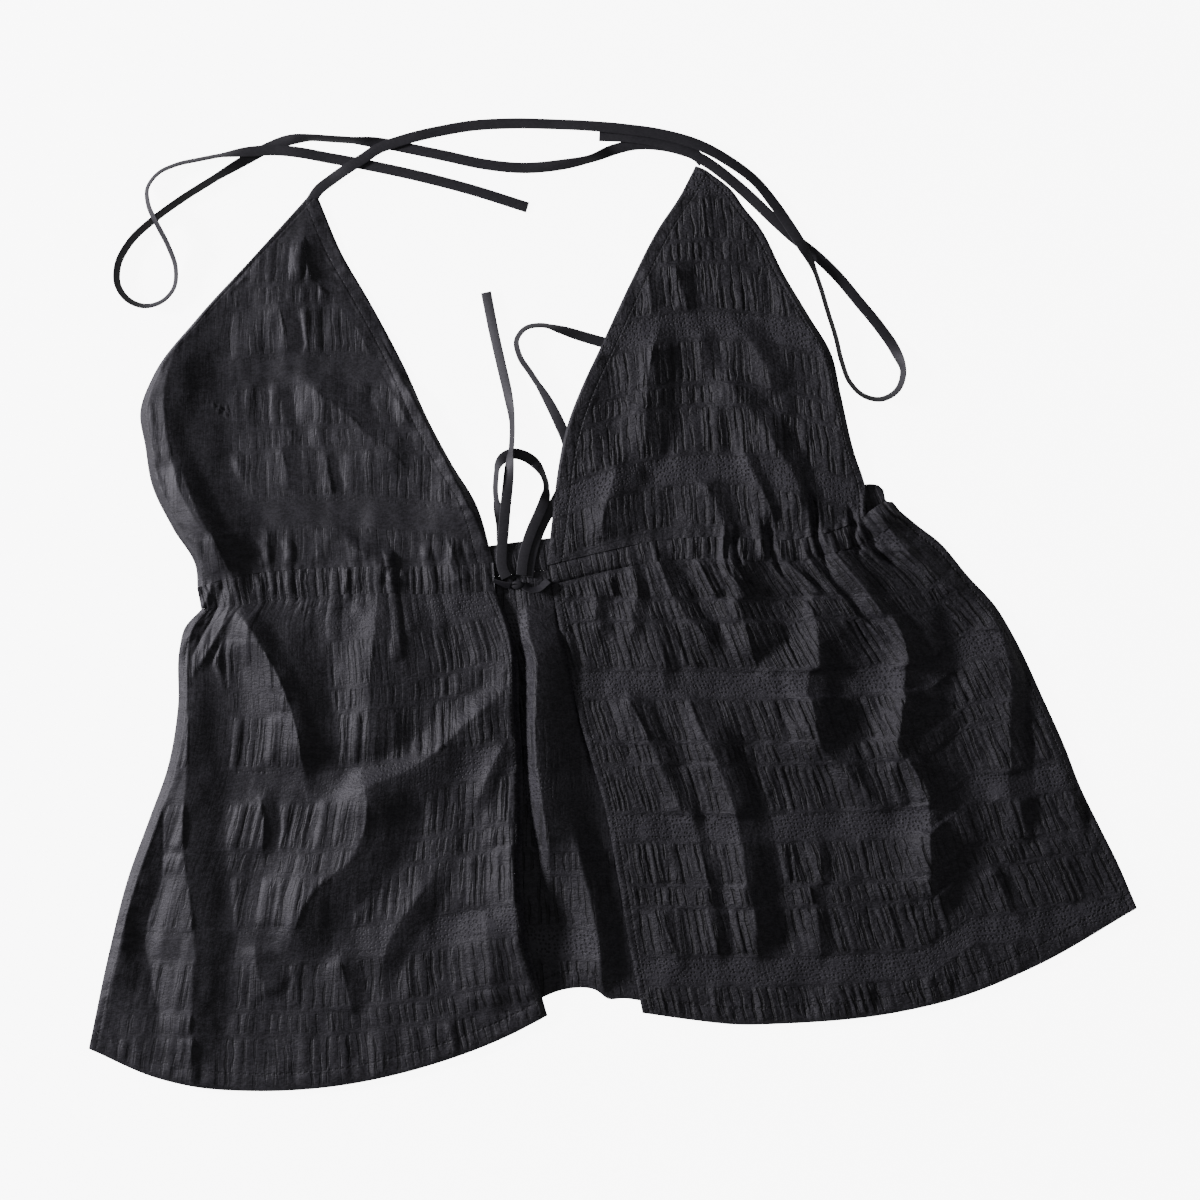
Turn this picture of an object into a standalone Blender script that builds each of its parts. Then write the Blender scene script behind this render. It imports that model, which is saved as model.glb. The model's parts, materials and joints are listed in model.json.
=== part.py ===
"""Halter-neck peplum top in crinkled cotton, laid flat with its bow pulled up: every sewn piece a solid.

Metres, +Z up. The top lies on its back on the plane z = 0, with the neck towards +Y and the viewer's
right at +X. The origin is under the middle of the cloth, on that plane. Tables are in millimetres and
are turned into metres by MM, and measured from MIDDLE, where points are read from them.
"""
import math
from collections import namedtuple

import bmesh
import bpy
import numpy as np

MM = 0.001
MIDDLE = (0.25, -1.992)  # the middle of the cloth, in the tables' x and y

# Driving sizes, in millimetres
CLOTH = 1.2             # wall of one layer of crinkled cotton
SEAM = 0.3              # gap between two pieces at a seam, and between layers
CASING_WALL = 2.2       # a casing at its thinnest: two layers and the cord inside
BACK_CASING_WALL = 1.5  # the back casing, pressed flat under the front
GATHER = 1.0            # how far each gather of a casing stands up
RIBBON_WIDTH = 6.5
RIBBON_THICK = 1.0
KNOT = (10.0, 8.0, 3.6)  # the bow's knot along x, y and z

LAYER = BACK_CASING_WALL + SEAM  # underside of whatever lies on the back

# A casing is a strip: x and y of its middle line, and its width, from the centre front to the side.
CASING_LEFT = (
    (-71, 29, 17), (-104, 27, 17), (-140, 27, 16), (-188, 25, 17), (-228, 20, 17), (-248, 16, 13),
)
CASING_RIGHT = (
    (-38, 30, 12), (-3, 38.5, 12), (24, 44, 12.5), (68, 46.5, 13), (104, 44.5, 13), (134, 50.5, 13),
    (151, 57, 14), (168, 70, 14),
)
CASING_BACK = (
    (-246, 17, 13), (-190, 26, 17), (-130, 31, 17), (-56, 40.5, 19), (20, 50, 17), (90, 58, 17),
    (130, 66, 17), (150, 75, 18), (162, 78, 15),
)

# Cut edges, as x and y. Neck, front and side edges run downwards, hems from the inner edge outwards.
NECK_LEFT = (
    (-176.5, 256), (-162, 222), (-148, 198), (-125, 155), (-110, 122), (-96, 96), (-82, 73), (-71, 38),
)
OUTER_LEFT = (
    (-183.5, 257), (-218, 219), (-250, 184), (-276, 150), (-284, 127), (-281, 108), (-277, 85), (-264, 58),
    (-250, 34), (-248, 23),
)
NECK_RIGHT = (
    (50, 276), (40, 257), (28, 239), (11, 206), (-9, 163), (-17, 146), (-28, 117), (-33, 92), (-36, 66),
    (-38, 41),
)
OUTER_RIGHT = (
    (57, 273), (72, 261), (79, 251), (88, 240), (103, 211), (118, 186), (132, 162), (137, 140), (146, 101),
    (151, 86), (150, 65),
)
FRONT_EDGE_LEFT = (
    (-64, 19), (-58, -14), (-56, -50), (-54, -84), (-54, -144), (-52, -182), (-45, -213), (-39, -233),
)
SIDE_LEFT = (
    (-249, 9), (-257, -2), (-260, -14), (-261, -49), (-267, -85), (-278, -116), (-291, -152), (-302, -195),
    (-314, -254),
)
HEM_LEFT = (
    (-39, -234.5), (-62, -246.5), (-113, -265.5), (-174, -278), (-212, -280), (-250, -277.5), (-274, -272),
    (-314.5, -254.5),
)
FRONT_EDGE_RIGHT = (
    (-37, 20), (-31, -6), (-25, -32), (-20, -56), (-13, -80), (-6, -104), (4, -156), (13, -208), (18, -232),
)
SIDE_RIGHT = (
    (171, 63), (183, 60), (196, 50), (213, 30), (231, 10), (240, -5), (259.5, -46), (272, -74), (280, -95),
    (292, -120), (303, -142), (314, -169),
)
HEM_RIGHT = (
    (18, -233), (46, -237), (75, -240), (102, -239.5), (172, -232.5), (204, -225), (255, -204.5),
    (315, -170),
)
BACK_SIDE_LEFT = ((-246, 9), (-256, -14), (-257, -49), (-274, -116), (-298, -195), (-310, -250))
BACK_SIDE_RIGHT = ((160, 66), (190, 50), (227, 10), (254, -48), (287, -120), (309, -167))
BACK_HEM = (
    (-310, -250), (-250, -272), (-174, -272), (-113, -259), (-62, -239), (-42, -224), (-28, -219),
    (-10, -219.5), (-2, -225), (6, -224.5), (18, -226), (75, -233), (172, -225), (255, -198), (309, -167),
)

# A fold is a crest: its height, its reach to the viewer's left and right, and its route downwards.
Fold = namedtuple("Fold", "height left right route")
FOLDS_CUP_LEFT = (
    Fold(12, 18, 44, ((-264, 152), (-270, 123), (-264, 92), (-251, 60), (-241, 36))),
    Fold(7, 28, 14, ((-176, 136), (-146, 118), (-128, 92), (-106, 72), (-84, 60))),
    Fold(4, 14, 10, ((-206, 205), (-206, 180), (-203, 158))),
    Fold(4, 14, 9, ((-181, 232), (-176, 208), (-170, 186))),
)
FOLDS_CUP_RIGHT = (
    Fold(7, 22, 15, ((22, 176), (18, 140), (8, 108), (-6, 82), (-12, 62))),
    Fold(9, 28, 15, ((66, 146), (80, 124), (94, 100), (106, 78))),
    Fold(5, 26, 12, ((110, 188), (128, 160), (133, 120), (141, 88))),
    Fold(4, 14, 9, ((78, 186), (90, 166), (98, 150))),
)
FOLDS_FRONT_LEFT = (
    Fold(14, 22, 30, ((-234, 12), (-218, -9), (-201, -35), (-189, -68), (-182, -90))),
    Fold(12, 20, 28, ((-118, 14), (-131, -12), (-141, -48), (-146, -78))),
    Fold(
        13, 24, 28,
        ((-66, -38), (-86, -69), (-110, -97), (-142, -107), (-156, -128), (-176, -156), (-198, -190)),
    ),
    Fold(11, 20, 28, ((-253, -30), (-250, -72), (-249, -123), (-251, -177), (-250, -232))),
    Fold(5, 12, 20, ((-278, -122), (-288, -162), (-296, -200), (-303, -240))),
    Fold(6, 34, 14, ((-70, -100), (-68, -150), (-66, -190), (-62, -226))),
)
FOLDS_FRONT_RIGHT = (
    Fold(7, 16, 16, ((34, 32), (45, 15), (57, -12))),
    Fold(10, 20, 20, ((80, 32), (82, 8), (92, -18), (113, -42))),
    Fold(
        14, 24, 30,
        ((117, 34), (141, 15), (160, -3), (174, -20), (176, -42), (174, -66), (182, -92), (192, -128),
         (200, -186)),
    ),
    Fold(8, 24, 18, ((126, -44), (135, -69), (153, -98), (172, -128))),
    Fold(6, 18, 16, ((14, -44), (26, -70), (40, -98))),
    Fold(11, 19, 23, ((60, -56), (69, -84), (78, -114), (81, -154), (86, -204))),
    Fold(7, 34, 20, ((236, -6), (243, -44), (241, -84), (250, -132))),
    Fold(8, 18, 24, ((174, 44), (190, 30), (206, 12), (214, -12))),
)
FOLDS_BACK = (Fold(6, 24, 20, ((-26, -140), (-20, -172), (-13, -216))),)

# A ribbon's route: x, y, the lift of its underside, and its roll in degrees, 0 lying flat and 90 on edge.
NECK_TIE_LEFT = (
    (-179.1, 258.75, 0, 0), (-176.2, 262, 0, 0), (-169.6, 267.2, 0, 0), (-159.2, 274.2, 1.6, 0),
    (-149.4, 280.4, 1.6, 0), (-141, 286, 1.6, 0), (-130, 290, 1.6, 0), (-118, 293.5, 1.6, 0),
    (-103, 297, 0.6, 0), (-86, 300, 0, 0), (-62, 301.5, 0, 0), (-36, 301, 0, 10), (-18, 300, 1.6, 10),
    (8, 297.6, 3.1, 0), (30, 294.4, 3.1, 0), (52, 288, 3.1, 0), (70, 278.5, 1.6, 10), (86, 266.5, 0.6, 20),
    (97, 253, 1.6, 10), (106, 240, 1.6, 0), (113, 229, 1.6, 10), (119, 218, 1.6, 45), (124.5, 204, 0, 80),
    (129, 189, 0, 85), (134, 173, 0, 80), (137.7, 158, 0, 70), (142.4, 146, 0, 65), (151, 137.6, 0, 70),
    (161, 135.5, 0, 80), (171, 141, 0, 90), (174.6, 152, 0, 70), (170, 165, 0, 20), (161, 178.6, 0, 0),
    (148.4, 194, 0, 0), (135, 210, 0, 0), (122, 222.5, 0, 0), (110, 232, 0, 0), (96, 244.5, 0, 10),
    (84, 256, 0.4, 10), (72, 266.5, 1.6, 0), (59, 276.5, 1.6, 0), (46, 284, 1.6, 0), (30, 289.8, 1.6, 0),
    (10, 293, 1.6, 0), (-8, 294, 0.6, 0),
)
NECK_TIE_RIGHT = (
    (54.5, 278, 0, 0), (51, 281.8, 0, 0), (42, 285.4, 0, 0), (30, 288.2, 0, 0), (14, 288.8, 0, 0),
    (1, 285.8, 0, 5), (-12, 280.4, 0, 50), (-32, 276.4, 0, 20), (-53, 274.8, 0, 0), (-78, 277.2, 0, 0),
    (-100, 281.9, 0, 0), (-120, 286, 0, 0), (-138, 289.5, 0, 0), (-153, 290.8, 0, 55), (-168, 291.8, 0, 78),
    (-184, 292.6, 0, 55), (-197, 290.8, 0, 10), (-209, 286, 0, 0), (-222, 278.5, 0, 30),
    (-240, 267.5, 0, 65), (-259, 255.5, 0, 72), (-276, 243, 0, 65), (-290, 229.5, 0, 88),
    (-297, 216, 0, 90), (-297, 204, 0, 90), (-290.5, 195, 0, 80), (-281, 191.5, 0, 70), (-271, 194, 0, 75),
    (-263.5, 202, 0, 85), (-262, 214, 1.5, 90), (-266, 227, 5, 75), (-272.5, 240, 7, 65),
    (-278, 252, 5, 80), (-279, 262, 1.5, 85), (-273, 271, 0, 75), (-263, 276, 0, 65), (-248, 279.5, 0, 85),
    (-232, 282.5, 0, 55), (-217, 284.4, 1.6, 10), (-203, 285.2, 1.6, 0), (-188, 283.8, 1.6, 0),
    (-172, 281, 0.4, 0), (-154, 277.8, 0, 0), (-136, 274.2, 0, 0), (-112, 268.8, 0, 0), (-86, 262, 0, 0),
    (-51, 251, 0, 0),
)
# The drawstring's visible ends, from the knot at the centre front
KNOT_CENTRE = (-57, 24)
BOW_TAIL = (
    (-63.5, 28.5, 3.4, 0), (-66, 34, 3.4, 0), (-66.4, 44, 3.5, 0), (-65.4, 56, 4, 0), (-64.2, 70, 5.4, 0),
    (-62.8, 84, 3.2, 10), (-61.6, 98, 2.2, 60), (-60.4, 110, 1.6, 80), (-60.4, 123, 0, 45),
    (-62.5, 137, 0, 5), (-67, 157, 0, 0), (-71.5, 177, 0, 0), (-76, 200, 0, 0),
)
BOW_LOOP = (
    (-62.5, 29.8, 2.1, 0), (-65.4, 38, 2.1, 0), (-66.3, 50, 1.6, 0), (-67, 62, 0.2, 0), (-69, 71, 0, 40),
    (-70.2, 79, 0, 80), (-70, 88, 0, 85), (-68.6, 96, 0, 45), (-65, 101, 0, 5), (-60, 103, 0, 0),
    (-54, 102, 0, 0), (-48, 98.6, 0, 10), (-43, 92.5, 0, 50), (-39.8, 84, 0, 75), (-40.6, 76, 0.6, 20),
    (-44, 67, 2.2, 0), (-48.4, 57, 3.4, 0), (-51.8, 47, 3.6, 0), (-53.8, 38, 3.4, 0), (-54.6, 30, 3.4, 0),
)
BOW_TAIL_UNDER = (
    (-50.6, 28.8, 2.1, 0), (-49.4, 38, 2.1, 0), (-47.6, 46, 2.1, 0), (-45, 54, 2.1, 0), (-41, 63, 0, 0),
    (-35, 73, 0, 0), (-29.5, 84, 0, 0), (-26.4, 96, 0, 0), (-27, 109, 0, 0), (-32, 121.5, 0, 10),
    (-40, 137, 0, 40), (-49, 151, 0, 80), (-56, 162, 0, 88), (-57.6, 171, 0, 88), (-52.5, 178, 0, 88),
    (-43.5, 180, 0, 80), (-32, 177.6, 0, 40), (-20, 174, 0, 10), (-6, 170, 0, 0), (10, 166, 0, 0),
    (26, 162, 0, 0),
)
DRAWSTRING_LEFT = ((-62.6, 23.8, 1.9, 55), (-65.4, 24.4, 1.9, 60), (-69.8, 25.4, 1.9, 60))
DRAWSTRING_RIGHT = (
    (-51.5, 22.2, 2.1, 45), (-49, 21.2, 2.1, 55), (-45.5, 21.2, 2.1, 55), (-38.2, 26.4, 1.9, 50),
)

# Looks kept with the solids: black cotton, its ties a shade lighter
BLACK = (0.017, 0.016, 0.020)
TIE_BLACK = (0.022, 0.021, 0.026)


def placed(x, y, z):
    """A point of the tables, in metres from the origin."""
    return (x - MIDDLE[0]) * MM, (y - MIDDLE[1]) * MM, z * MM


def smoothstep(low, high, value):
    share = np.clip((np.asarray(value, float) - low) / (high - low), 0.0, 1.0)
    return share * share * (3.0 - 2.0 * share)


def smooth_line(rows, count):
    """A smooth curve through the rows, read at `count` places evenly spaced along its length."""
    rows = np.array(rows, float)
    knots = np.concatenate([[0.0], np.cumsum(np.hypot(*np.diff(rows[:, :2], axis=0).T))])
    slopes = np.gradient(rows, knots, axis=0)
    fine = np.linspace(0.0, knots[-1], 16 * len(rows))
    span = np.clip(np.searchsorted(knots, fine, side="right") - 1, 0, len(rows) - 2)
    width = (knots[span + 1] - knots[span])[:, None]
    t = (fine[:, None] - knots[span][:, None]) / width
    line = (
        (1 + 2 * t) * (1 - t) ** 2 * rows[span] + t * (1 - t) ** 2 * width * slopes[span]
        + t * t * (3 - 2 * t) * rows[span + 1] - t * t * (1 - t) * width * slopes[span + 1]
    )
    along = np.concatenate([[0.0], np.cumsum(np.hypot(*np.diff(line[:, :2], axis=0).T))])
    places = np.linspace(0.0, along[-1], count)
    return np.stack([np.interp(places, along, column) for column in line.T], axis=1)


def strip_edges(casing, count, outset=0.0):
    """Lines along a casing's upper and lower edges, `outset` outside them."""
    line = smooth_line(casing, count)
    run = np.gradient(line[:, :2], axis=0)
    run /= np.hypot(*run.T)[:, None]
    across = np.stack([-run[:, 1], run[:, 0]], axis=1) * np.sign(run[:, :1])
    half = line[:, 2:3] / 2 + outset
    return line[:, :2] + across * half, line[:, :2] - across * half


def net(top, bottom, inner, outer):
    """Points of a panel between its four edges: rows run down it, columns from inner to outer edge."""
    u = np.linspace(0.0, 1.0, len(top))[None, :, None]
    v = np.linspace(0.0, 1.0, len(inner))[:, None, None]
    corners = (
        (1 - u) * (1 - v) * top[0] + u * (1 - v) * top[-1] + (1 - u) * v * bottom[0] + u * v * bottom[-1]
    )
    return (1 - v) * top + v * bottom + (1 - u) * inner[:, None] + u * outer[:, None] - corners


def relief(folds, points):
    """The height of the cloth where folds run over it; where two meet, the higher one leads."""
    total = np.zeros(points.shape[:-1])
    for fold in folds:
        route = smooth_line(fold.route, 4 * len(fold.route))
        offset = points[..., None, :] - route[:-1]
        leg = np.diff(route, axis=0)
        share = np.clip((offset * leg).sum(-1) / (leg ** 2).sum(-1), 0.0, 1.0)
        gap = offset - share[..., None] * leg
        far = np.hypot(gap[..., 0], gap[..., 1])
        nearest = far.argmin(-1)[..., None]
        far = np.take_along_axis(far, nearest, -1)[..., 0]
        cross = leg[:, 0] * offset[..., 1] - leg[:, 1] * offset[..., 0]
        on_left = np.take_along_axis(cross, nearest, -1)[..., 0] < 0
        along = (nearest[..., 0] + np.take_along_axis(share, nearest, -1)[..., 0]) / len(leg)
        reach = np.where(on_left, fold.left, fold.right)
        crown = np.clip(1.0 - (far / reach) ** 2, 0.0, 1.0) ** 2
        ends = 0.35 + 0.65 * smoothstep(0.0, 0.2, along) * smoothstep(1.0, 0.8, along)
        total += (fold.height * crown * ends) ** 3
    return np.cbrt(total)


def cloth_material(name, colour):
    material = bpy.data.materials.new(name)
    material.use_nodes = True
    shader = material.node_tree.nodes["Principled BSDF"]
    shader.inputs["Base Color"].default_value = (*colour, 1.0)
    shader.inputs["Roughness"].default_value = 0.85
    shader.inputs["Metallic"].default_value = 0.0
    return material


def cloth_wall(name, points, under, over):
    """A piece of cloth: a grid laid over the points, closed between the heights `under` and `over`."""
    rows, columns = under.shape
    mesh = bpy.data.meshes.new(name)
    piece = bmesh.new()
    bmesh.ops.create_grid(piece, x_segments=columns - 1, y_segments=rows - 1, size=0.5)
    bmesh.ops.triangulate(piece, faces=piece.faces[:])
    bmesh.ops.extrude_face_region(piece, geom=piece.faces[:])
    lower = len(piece.verts) // 2
    for i, vert in enumerate(piece.verts):
        column = round((vert.co.x + 0.5) * (columns - 1))
        row = round((0.5 - vert.co.y) * (rows - 1))
        height = (under if i < lower else over)[row, column]
        vert.co = placed(*points[row, column], height)
    bmesh.ops.recalc_face_normals(piece, faces=piece.faces[:])
    piece.to_mesh(mesh)
    piece.free()
    body = bpy.data.objects.new(name, mesh)
    mesh.materials.append(cloth_material(name, BLACK))
    mesh.shade_smooth()
    mesh.set_sharp_from_angle(angle=math.radians(50))
    bpy.context.scene.collection.objects.link(body)


def ribbon(name, route, count):
    """A flat woven tie: a curve whose section is RIBBON_WIDTH by RIBBON_THICK, rolled as its route says."""
    line = smooth_line(route, count)
    lift = np.maximum(line[:, 2], 0.0)
    roll = np.radians(np.clip(line[:, 3], 0.0, 90.0))
    half_height = (RIBBON_THICK + (RIBBON_WIDTH - RIBBON_THICK) * np.sin(roll)) / 2
    data = bpy.data.curves.new(name, "CURVE")
    data.dimensions = "3D"
    data.twist_mode = "Z_UP"
    data.extrude = (RIBBON_WIDTH - RIBBON_THICK) / 2 * MM
    data.bevel_depth = RIBBON_THICK / 2 * MM
    data.bevel_resolution = 2
    data.use_fill_caps = True
    spline = data.splines.new("POLY")
    spline.points.add(count - 1)
    for point, place, height, angle in zip(spline.points, line, lift + half_height, roll):
        point.co = (*placed(*place[:2], height), 1.0)
        point.tilt = math.pi / 2 - angle
    body = bpy.data.objects.new(name, data)
    data.materials.append(cloth_material(name, TIE_BLACK))
    bpy.context.scene.collection.objects.link(body)


def casing(name, line, columns, gathers, under, wall):
    """A gathered strip along the waist; its thickness swells at each gather."""
    upper, lower = strip_edges(line, columns)
    down = np.linspace(0.0, 1.0, 4)[:, None, None]
    points = (1 - down) * upper + down * lower
    swell = 0.5 - 0.5 * np.cos(2 * math.pi * gathers * np.linspace(0.0, 1.0, columns))
    under = np.full(points.shape[:2], float(under))
    over = under + wall + GATHER * swell * (gathers > 0)
    cloth_wall(name, points, under, over)


def edge_line(rows, count, first=None, last=None):
    """A cut edge through its rows, with either end moved to where it meets the next edge."""
    rows = [row for row in rows]
    if first is not None:
        rows[0] = tuple(first)
    if last is not None:
        rows[-1] = tuple(last)
    return smooth_line(rows, count)


def cup(name, neck, outer, waist, rows, folds, neck_lift):
    """A triangle of the bodice, from its apex down to the upper edge of its casing."""
    columns = len(waist)
    apex = np.linspace(neck[0], outer[0], columns)
    points = net(apex, waist, edge_line(neck, rows, last=waist[0]), edge_line(outer, rows, last=waist[-1]))
    u, v = np.meshgrid(np.linspace(0, 1, columns), np.linspace(0, 1, rows))
    on_waist = smoothstep(0.66, 0.88, v)
    on_neck = neck_lift * smoothstep(0.5, 0.25, u) * smoothstep(0.12, 0.35, v)
    under = LAYER * np.maximum(on_waist, on_neck) + relief(folds, points) * smoothstep(1.0, 0.95, u)
    cloth_wall(name, points, under, under + CLOTH)


def peplum(name, waist, inner, outer, hem, rows, folds, lift):
    """A skirt panel, from the lower edge of its casing down to its hem."""
    bottom = smooth_line(hem, len(waist))
    inner = edge_line(inner, rows, waist[0], bottom[0])
    outer = edge_line(outer, rows, waist[-1], bottom[-1])
    points = net(waist, bottom, inner, outer)
    u = np.linspace(0, 1, len(waist))[None, :]
    under = lift + relief(folds, points) * smoothstep(1.0, 0.96, u) + np.zeros((rows, 1))
    cloth_wall(name, points, under, under + CLOTH)


def knot():
    mesh = bpy.data.meshes.new("bow_knot")
    ball = bmesh.new()
    bmesh.ops.create_icosphere(ball, subdivisions=2, radius=0.5)
    bmesh.ops.scale(ball, vec=[side * MM for side in KNOT], verts=ball.verts[:])
    bmesh.ops.translate(ball, vec=placed(*KNOT_CENTRE, LAYER + KNOT[2] / 2), verts=ball.verts[:])
    ball.to_mesh(mesh)
    ball.free()
    mesh.materials.append(cloth_material("bow_knot", TIE_BLACK))
    mesh.shade_smooth()
    bpy.context.scene.collection.objects.link(bpy.data.objects.new("bow_knot", mesh))


def build():
    for item in list(bpy.data.objects):
        bpy.data.objects.remove(item)

    above_left, below_left = strip_edges(CASING_LEFT, 24, SEAM)
    above_right, below_right = strip_edges(CASING_RIGHT, 28, SEAM)
    below_back = strip_edges(CASING_BACK, 24, SEAM)[1]

    casing("back_casing", CASING_BACK, 24, 0, 0.0, BACK_CASING_WALL)
    casing("casing_left", CASING_LEFT, 24, 8, LAYER, CASING_WALL)
    casing("casing_right", CASING_RIGHT, 28, 9, LAYER, CASING_WALL)
    peplum("back_peplum", below_back, BACK_SIDE_LEFT, BACK_SIDE_RIGHT, BACK_HEM, 10, FOLDS_BACK, 0.0)
    peplum(
        "front_peplum_left", below_left, FRONT_EDGE_LEFT, SIDE_LEFT, HEM_LEFT, 24, FOLDS_FRONT_LEFT, LAYER,
    )
    peplum(
        "front_peplum_right", below_right, FRONT_EDGE_RIGHT, SIDE_RIGHT, HEM_RIGHT, 22, FOLDS_FRONT_RIGHT,
        LAYER,
    )
    cup("cup_left", NECK_LEFT, OUTER_LEFT, above_left, 18, FOLDS_CUP_LEFT, 0.0)
    cup("cup_right", NECK_RIGHT, OUTER_RIGHT, above_right[:26], 18, FOLDS_CUP_RIGHT, 1.0)

    ribbon("neck_tie_left", NECK_TIE_LEFT, 78)
    ribbon("neck_tie_right", NECK_TIE_RIGHT, 78)
    knot()
    ribbon("bow_tail", BOW_TAIL, 26)
    ribbon("bow_loop", BOW_LOOP, 32)
    ribbon("bow_tail_under", BOW_TAIL_UNDER, 34)
    ribbon("drawstring_left", DRAWSTRING_LEFT, 3)
    ribbon("drawstring_right", DRAWSTRING_RIGHT, 4)


build()
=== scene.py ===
"""Looks of a halter-neck peplum top in crinkled black cotton, laid flat with its bow pulled up.

The tables are in millimetres, with +Y towards the neck and the viewer's right at +X. MIDDLE is the
middle of the cloth in them, and placed() turns a point of theirs into metres from the origin.
"""

import json
import math
from collections import namedtuple
from functools import partial

import bmesh
import bpy
import numpy as np
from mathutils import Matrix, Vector

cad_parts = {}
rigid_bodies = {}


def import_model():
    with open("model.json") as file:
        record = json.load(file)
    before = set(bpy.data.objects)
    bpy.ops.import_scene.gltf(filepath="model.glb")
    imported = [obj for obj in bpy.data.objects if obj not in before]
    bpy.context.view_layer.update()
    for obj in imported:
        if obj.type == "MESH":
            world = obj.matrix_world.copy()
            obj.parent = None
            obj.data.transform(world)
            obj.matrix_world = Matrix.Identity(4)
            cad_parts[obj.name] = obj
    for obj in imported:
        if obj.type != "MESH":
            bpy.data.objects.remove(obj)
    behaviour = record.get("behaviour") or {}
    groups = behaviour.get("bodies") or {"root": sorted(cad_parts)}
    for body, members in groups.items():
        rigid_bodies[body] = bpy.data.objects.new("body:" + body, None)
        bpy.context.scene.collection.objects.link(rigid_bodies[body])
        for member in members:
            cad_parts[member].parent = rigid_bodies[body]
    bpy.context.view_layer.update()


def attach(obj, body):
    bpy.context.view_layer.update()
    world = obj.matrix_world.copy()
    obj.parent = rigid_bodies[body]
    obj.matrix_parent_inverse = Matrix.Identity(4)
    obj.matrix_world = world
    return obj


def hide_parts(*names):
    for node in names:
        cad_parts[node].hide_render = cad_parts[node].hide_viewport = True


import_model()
scene_objects = bpy.context.scene.collection.objects

MM = 0.001
MIDDLE = (0.25, -1.992)

LAYER = 1.8          # underside of whatever lies on the back
NAP = 1.1            # the cloth's middle above what it lies on, where no pucker lifts or sinks it
CLOTH = 0.6          # thickness of one layer as seen at an edge
LOWEST = CLOTH + 0.1  # the least that its upper face is above the surface
RIBBON_WIDTH = 6.5
RIBBON_THICK = 0.8

# Widths of the turned hems, and how far inside its hem's edge a stitch line runs
NECK_HEM = 11.0
FREE_HEM = 6.0
SKIRT_HEM = 12.0
STITCH_INSET = 1.6

# A casing is a strip: x and y of its middle line, and its width, from the centre front to the side.
CASING_LEFT = (
    (-71, 29, 17), (-104, 27, 17), (-140, 27, 16), (-188, 25, 17), (-228, 20, 17), (-248, 16, 13),
)
CASING_RIGHT = (
    (-38, 30, 12), (-3, 38.5, 12), (24, 44, 12.5), (68, 46.5, 13), (104, 44.5, 13), (134, 50.5, 13),
    (151, 57, 14), (163, 66, 14), (167.5, 69.6, 11.5), (170, 71.6, 6),
)
CASING_BACK = (
    (-246, 17, 13), (-190, 26, 17), (-130, 31, 17), (-56, 40.5, 19), (20, 50, 17), (90, 58, 17),
    (130, 66, 17), (150, 75, 18), (157.5, 77, 16), (161.5, 78, 12), (163.5, 78.4, 6),
)

# Cut edges, as x and y. Neck, front and side edges run downwards, hems from the inner edge outwards.
NECK_LEFT = (
    (-176.5, 256), (-162, 222), (-148, 198), (-125, 155), (-110, 122), (-96, 96), (-82, 73), (-71, 38),
)
OUTER_LEFT = (
    (-183.5, 257), (-218, 219), (-250, 184), (-276, 150), (-284, 127), (-281, 108), (-277, 85), (-264, 58),
    (-250, 34), (-248, 23),
)
NECK_RIGHT = (
    (50, 276), (40, 257), (28, 239), (11, 206), (-9, 163), (-17, 146), (-28, 117), (-33, 92), (-36, 66),
    (-38, 41),
)
OUTER_RIGHT = (
    (57, 273), (72, 261), (79, 251), (88, 240), (103, 211), (118, 186), (132, 162), (137, 140), (146, 101),
    (151, 86), (150, 65),
)
FRONT_EDGE_LEFT = (
    (-64, 19), (-58, -14), (-56, -50), (-54, -84), (-54, -144), (-52, -182), (-45, -213), (-39, -233),
)
SIDE_LEFT = (
    (-249, 9), (-257, -2), (-260, -14), (-261, -49), (-267, -85), (-278, -116), (-291, -152), (-302, -195),
    (-314, -254),
)
HEM_LEFT = (
    (-39, -234.5), (-62, -246.5), (-113, -265.5), (-174, -278), (-212, -280), (-250, -277.5), (-274, -272),
    (-314.5, -254.5),
)
FRONT_EDGE_RIGHT = (
    (-37, 20), (-31, -6), (-25, -32), (-20, -56), (-13, -80), (-6, -104), (4, -156), (13, -208),
    (18, -232),
)
SIDE_RIGHT = (
    (171, 63), (183, 60), (196, 50), (213, 30), (231, 10), (240, -5), (259.5, -46), (272, -74), (280, -95),
    (292, -120), (303, -142), (314, -169),
)
HEM_RIGHT = (
    (18, -233), (46, -237), (75, -240), (102, -239.5), (172, -232.5), (204, -225), (255, -204.5),
    (315, -170),
)
BACK_SIDE_LEFT = ((-246, 9), (-256, -14), (-257, -49), (-274, -116), (-298, -195), (-310, -250))
BACK_SIDE_RIGHT = ((160, 66), (190, 50), (227, 10), (254, -48), (287, -120), (309, -167))
BACK_HEM = (
    (-310, -250), (-250, -272), (-174, -272), (-113, -259), (-62, -239), (-42, -224), (-28, -219),
    (-10, -219.5), (-2, -225), (6, -224.5), (18, -226), (75, -233), (172, -225), (255, -198), (309, -167),
)

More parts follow.
